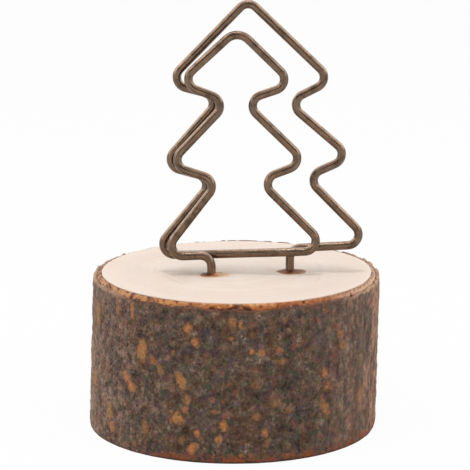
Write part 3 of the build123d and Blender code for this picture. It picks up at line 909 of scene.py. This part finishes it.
# %% Sizes and corners of the wire
wire_diameter = 1.8 * mm
bend_radius = 2.3 * mm
front_apex_radius = 3.2 * mm
back_apex_radius = 2.2 * mm
easy_bend_radius = 20 * mm
loop_gap = 1.1 * mm
pinch_gap = 0.3 * mm
pinch_height_share = 0.75
clip_offset = 2.35 * mm
front_width, front_height = 35.3 * mm, 46.6 * mm
back_width, back_height = 46.1 * mm, 53.2 * mm
front_x, back_x = 0.2 * mm, 2.3 * mm
front_run_height, front_run_rise = 4.4 * mm, 1.4 * mm
back_run_height = 3.6 * mm
left_leg_x, right_leg_x = -5.2 * mm, 11.1 * mm
right_leg_bend_height = 4.95 * mm
leg_foot_z = 18.5 * mm
stub_cut_share, crossing_cut_share = -0.306, 0.362
crossing_start_share, crossing_end_share = 0.295, -0.252
run_use_share = 0.98
front_corner_shares = (
    (-0.456, 0.000), (-0.090, 0.333), (-0.381, 0.413), (-0.018, 0.683), (-0.300, 0.773),
    (0.052, 1.000),
    (0.365, 0.749), (0.067, 0.683), (0.421, 0.400), (0.142, 0.329), (0.544, 0.000),
)
back_corner_shares = (
    (-0.436, 0.000), (-0.148, 0.301), (-0.384, 0.357), (-0.115, 0.622), (-0.360, 0.679),
    (0.000, 1.000),
    (0.373, 0.690), (0.176, 0.603), (0.462, 0.389), (0.260, 0.310), (0.562, 0.043),
)

front_y = -clip_offset - (wire_diameter + loop_gap) / 2
back_y = -clip_offset + (wire_diameter + loop_gap) / 2
lean = atan2(loop_gap - pinch_gap, front_height * pinch_height_share)
front_origin = Vector((top_middle_x + front_x, front_y, block_height + front_run_height))
front_out = Vector((0, -cos(lean), sin(lean)))
run_line = Vector((front_width, 0, front_run_rise))
front_across = (run_line - front_out * run_line.dot(front_out)).normalized()
front_up = front_out.cross(front_across)
back_origin = Vector((top_middle_x + back_x, back_y, block_height + back_run_height))


def front_point(across, up):
    """A point of the small tree, from shares of its width and height."""
    return front_origin + front_across * front_width * across + front_up * front_height * up


def back_point(across, up):
    """A point of the large tree, from shares of its width and height."""
    return back_origin + Vector((back_width * across, 0, back_height * up))


left_leg_top = front_point((left_leg_x - front_x) / front_width, 0)
right_leg_top = Vector((top_middle_x + right_leg_x, back_y, block_height + right_leg_bend_height))
front_corners = [front_point(*shares) for shares in front_corner_shares]
back_corners = [back_point(*shares) for shares in back_corner_shares]
stub_cut, crossing_cut = front_point(stub_cut_share, 0), front_point(crossing_cut_share, 0)
print(f"small tree at y {front_y / mm:.2f} mm, large tree at y {back_y / mm:.2f} mm")


# %% Bend radii that fit their runs
def fitted_radii(route, wanted):
    """The wanted bend radii, made smaller only where the straight runs are too short for them."""
    runs = [(end - start).length for start, end in zip(route, route[1:])]
    turns = [(b - a).angle(c - b) for a, b, c in zip(route, route[1:], route[2:])]
    reaches = [0, *(radius * tan(turn / 2) for radius, turn in zip(wanted, turns)), 0]
    room = [min(1, run_use_share * run / (a + b)) for run, a, b in zip(runs, reaches, reaches[1:])]
    return [radius * min(before, after) for radius, before, after in zip(wanted, room, room[1:])]


def tree_radii(apex_radius):
    """The bend radii of a tree's eleven corners: the middle one is the apex."""
    return [bend_radius] * 5 + [apex_radius] + [bend_radius] * 5


wire_routes = {
    "left_leg": (
        [Vector((*left_leg_top.xy, leg_foot_z)), left_leg_top, stub_cut], [bend_radius]),
    "small_tree": (
        [stub_cut, *front_corners, crossing_cut], tree_radii(front_apex_radius)),
    "large_tree": (
        [crossing_cut, front_point(crossing_start_share, 0), back_point(crossing_end_share, 0),
         *back_corners, right_leg_top, Vector((*right_leg_top.xy, leg_foot_z))],
        [easy_bend_radius] * 2 + tree_radii(back_apex_radius) + [bend_radius]),
}
for name, (route, wanted) in wire_routes.items():
    print(f"{name}: {len(route)} points, tightest bend {min(fitted_radii(route, wanted)) / mm:.2f} mm")

# %% [markdown]
# ## Drawn and bronzed wire
# Wire is drawn through a die, which leaves fine lines along it, and then it is bent over pins, which
# leaves it a little uneven. A chain of edges becomes a curve, each corner is rounded by its own
# radius, and a circle is run along it. Each point of the skin also keeps the place that it had when
# the wire was still straight, so the drawn lines can follow every bend. Real drawn lines are finer
# than a pixel, so these are drawn as wide as they need to be to show.

# %% Nodes that draw the wire
wire_sizes = {
    "Diameter": wire_diameter, "Step": 0.25 * mm, "Lump depth": 0.012 * mm, "Lump size": 5 * mm,
    "Start": 0.0, "Seed": 7.0,
}
tree, wire_in = new_tree("drawn_wire", wire_sizes)
line = add_node(tree, "MeshToCurve", wire_in["Geometry"])
corner_radius = add_node(tree, "InputNamedAttribute", "bend_radius")
line = add_node(tree, "FilletCurve", line, {
    "Count": 16, "Radius": corner_radius, "Limit Radius": False}, mode="POLY")
line = add_node(tree, "ResampleCurve", line, {"Length": wire_in["Step"]}, mode="LENGTH")
heading = add_node(tree, "InputTangent")
side_line = add_node(tree, "VectorMath CROSS_PRODUCT", heading, (0, 1, 0))
level_line = add_node(tree, "VectorMath CROSS_PRODUCT", side_line, heading)
level_line = add_node(tree, "VectorMath NORMALIZE", level_line)
line = add_node(tree, "SetCurveNormal", line, {"Normal": level_line}, mode="FREE")
so_far = add_node(tree, "SplineParameter", out="Length")
along = add_node(tree, "Math ADD", so_far, wire_in["Start"])
line = add_node(tree, "StoreNamedAttribute", line, {2: "along", 3: along})
along_line = add_node(tree, "CombineXYZ", along)
lumps = relief(tree, along_line, wire_in["Seed"], wire_in["Lump size"], wire_in["Lump depth"])
radius = add_node(tree, "Math MULTIPLY", wire_in["Diameter"], 0.5)
thickness = add_node(tree, "Math ADD", radius, lumps)
circle = add_node(tree, "CurvePrimitiveCircle", {"Resolution": 24, "Radius": 1.0})
around = add_node(tree, "InputPosition")
circle = add_node(tree, "StoreNamedAttribute", circle, {2: "around", 3: around},
    data_type="FLOAT_VECTOR")
tube = add_node(tree, "CurveToMesh", line, circle, {"Scale": thickness, "Fill Caps": True})
along_name = add_node(tree, "InputNamedAttribute", "along")
around_name = add_node(tree, "InputNamedAttribute", "around", data_type="FLOAT_VECTOR")
around_size = add_node(tree, "VectorMath SCALE", around_name, {"Scale": radius})
around_parts = add_node(tree, "SeparateXYZ", around_size).node.outputs
straight = add_node(tree, "CombineXYZ", along_name, around_parts[0], around_parts[1])
tube = add_node(tree, "StoreNamedAttribute", tube, {2: "straight", 3: straight},
    data_type="FLOAT_VECTOR")
end_tree(tree, tube, wire_in["Material"])

# %% Bronzed steel wire
wire_material, tree = new_material("bronzed_steel_wire")
straight = add_node(tree, "Attribute", out="Vector", attribute_name="straight")
drawn = add_node(tree, "Mapping", {"Vector": straight, "Scale": (0.06, 1, 1)})
line_noise, rub_noise, speck = [
    add_node(tree, "TexNoise", {"Vector": place, "Scale": 1 / size, "Detail": detail, "Roughness": 0.6})
    for place, size, detail in (
        (drawn, 0.22 * mm, 3), (straight, 1.6 * mm, 3), (straight, 0.35 * mm, 2))
]
base = add_node(tree, "ValToRGB", line_noise, stops=(
    (0.3, "#5a4738"), (0.75, "#8e7763"), (0.5, "#715b48")))
speck_level = add_node(tree, "MapRange", speck, 0.35, 0.65, 0.9, 1.1)
base = add_node(tree, "VectorMath SCALE", base, {"Scale": speck_level})
for least, full, most, hex_colour in ((0.52, 0.68, 0.65, "#3f2c20"), (0.46, 0.34, 0.35, "#946a50")):
    share = add_node(tree, "MapRange", rub_noise, least, full, 0.0, most)
    base = add_node(tree, "Mix", share, {6: base, 7: hex_colour}, out=2, data_type="RGBA")
rough = add_node(tree, "MapRange", line_noise, 0.3, 0.7, 0.2, 0.3)
normal = add_node(tree, "Bump", {"Height": line_noise, "Strength": 0.3, "Distance": 0.02 * mm})
shader = add_node(tree, "BsdfPrincipled", {
    "Base Color": base, "Metallic": 0.9, "Roughness": rough, "Normal": normal,
    "Coat Weight": 0.3, "Coat Roughness": 0.25})
add_node(tree, "OutputMaterial", {"Surface": shader})
print("wire material:", len(tree.nodes), "shader nodes")

# %% Bend the three lengths of wire
wire_uses = {
    "left_leg": ("wire_foot", "base"),
    "small_tree": ("front_tree_wire", "small_tree"),
    "large_tree": ("back_tree_wire", "base"),
}
wire_so_far = 0.0
for name, (route, wanted) in wire_routes.items():
    mesh = bpy.data.meshes.new(name + "_bent_wire")
    mesh.from_pydata(route, [(i, i + 1) for i in range(len(route) - 1)], [])
    radii = mesh.attributes.new("bend_radius", "FLOAT", "POINT")
    radii.data.foreach_set("value", [0, *fitted_radii(route, wanted), 0])
    wire = add_object(name + "_bent_wire", mesh)
    finish_mesh(wire, "drawn_wire", wire_sizes | {"Start": wire_so_far, "Material": wire_material})
    wire.data.shade_smooth()
    along = np.empty(len(wire.data.vertices), np.float32)
    wire.data.attributes["along"].data.foreach_get("value", along)
    print(f"{wire.name}: {(along.max() - wire_so_far) / mm:.1f} mm of wire")
    wire_so_far = float(along.max())
    node, body = wire_uses[name]
    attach(wire, body)
    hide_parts(node)

# %% [markdown]
# ## The glue
# Each leg stands in a drop of amber glue that rose out of its hole and ran out over the wood in a thin
# uneven pool. The glue climbs a little way up the wire, as any liquid does. Once dry it has a dull
# gloss: it is dark amber where it is thick, and where it is thin it only tints the wood.

# %% Amber glue
glue_material, tree = new_material("amber_wood_glue")
where = add_node(tree, "TexCoord", out="Object")
cloud = add_node(tree, "TexNoise", {"Vector": where, "Scale": 1 / (1.2 * mm), "Detail": 3})
deep = add_node(tree, "Attribute", out="Fac", attribute_name="deep")
cloud = add_node(tree, "MapRange", cloud, 0.3, 0.7, -0.12, 0.12)
deep = add_node(tree, "Math ADD", deep, cloud)
base = add_node(tree, "ValToRGB", deep, stops=(
    (0.0, "#ecd6c2"), (1.0, "#4a230d"), (0.25, "#dcb592"), (0.5, "#bb7d4e"), (0.75, "#8d5530")))
shader = add_node(tree, "BsdfPrincipled", {
    "Base Color": base, "Roughness": 0.45, "Specular IOR Level": 0.15})
add_node(tree, "OutputMaterial", {"Surface": shader})
print("glue:", len(tree.nodes), "shader nodes")

# %% Pour the glue
glue_steps = 64
hole_radius = 1.25 * mm
glue_height = 0.16 * mm
plug_depth, plug_middle = 1 * mm, 0.02 * mm  # below the leg's foot, and a hair of a hole in the plug


def glue_pool(name, x, y, shift, half_width, half_depth, edge_depth, one_sided, seed):
    """A thin pool round a leg, darker at its left side, with the plug in the hole, as one closed skin."""
    uneven = Random(seed)
    waves = [(uneven.uniform(0.01, 0.04), uneven.uniform(0, 2 * pi)) for wave in range(4)]
    turns = [2 * pi * i / glue_steps for i in range(glue_steps)]
    edge = [
        1 + sum(size * sin((k + 2) * turn + start) for k, (size, start) in enumerate(waves))
        for turn in turns
    ]
    wire_radius = wire_diameter / 2
    levels = (  # share of the way from the wire to the pool's edge, and height over the wood
        (1.0, 0.0), (0.97, 0.3), (0.85, 0.6), (0.6, 0.9),
        (0.35, 1.05), (0.15, 1.5), (0.05, 2.2), (0.0, 2.8),
    )
    plug = (
        (wire_radius, leg_foot_z), (plug_middle, leg_foot_z), (plug_middle, leg_foot_z - plug_depth),
        (hole_radius, leg_foot_z - plug_depth), (hole_radius, block_height),
    )
    made = bmesh.new()
    deep = made.verts.layers.float.new("deep")
    rows = []
    for share, rise in levels:
        row = []
        for turn, reach in zip(turns, edge):
            point = made.verts.new((
                x + shift * share + cos(turn) * (wire_radius + (half_width * reach - wire_radius) * share),
                y + sin(turn) * (wire_radius + (half_depth * reach - wire_radius) * share),
                block_height + glue_height * rise,
            ))
            point[deep] = edge_depth + (1 - edge_depth - one_sided * cos(turn)) * (1 - share) ** 0.7
            row.append(point)
        rows.append(row)
    for radius, level in plug:
        rows.append([
            made.verts.new((x + radius * cos(turn), y + radius * sin(turn), level)) for turn in turns])
    for row, following in zip(rows, rows[1:] + rows[:1]):
        for i in range(glue_steps):
            j = (i + 1) % glue_steps
            made.faces.new((row[i], row[j], following[j], following[i]))
    bmesh.ops.recalc_face_normals(made, faces=made.faces)
    mesh = bpy.data.meshes.new(name)
    made.to_mesh(mesh)
    made.free()
    mesh.shade_smooth()
    mesh.materials.append(glue_material)
    return add_object(name, mesh)


for name, node, (x, y), *shape in (
    ("left_glue_pool", "left_glue", hole_places[0], 0.5 * mm, 3.1 * mm, 2.4 * mm, 0.2, 0.6, 2),
    ("right_glue_pool", "right_glue", hole_places[1], 0.35 * mm, 3.05 * mm, 2.5 * mm, 0.58, 0.05, 4),
):
    pool = glue_pool(name, x, y, *shape)
    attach(pool, "base")
    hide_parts(node)
    print(f"{name}: {len(pool.data.polygons)} faces")

# %% [markdown]
# ## The two boxes
# The finished holder should be no larger than its solids. Both boxes are printed.

# %% Print the two boxes and finish
low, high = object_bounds()
sizes = {"cad": [list(cad_low), list(cad_high)], "visual": [list(low), list(high)]}
for name, (lowest, highest) in sizes.items():
    print(name, [round(value / mm, 2) for value in (*lowest, *highest)])
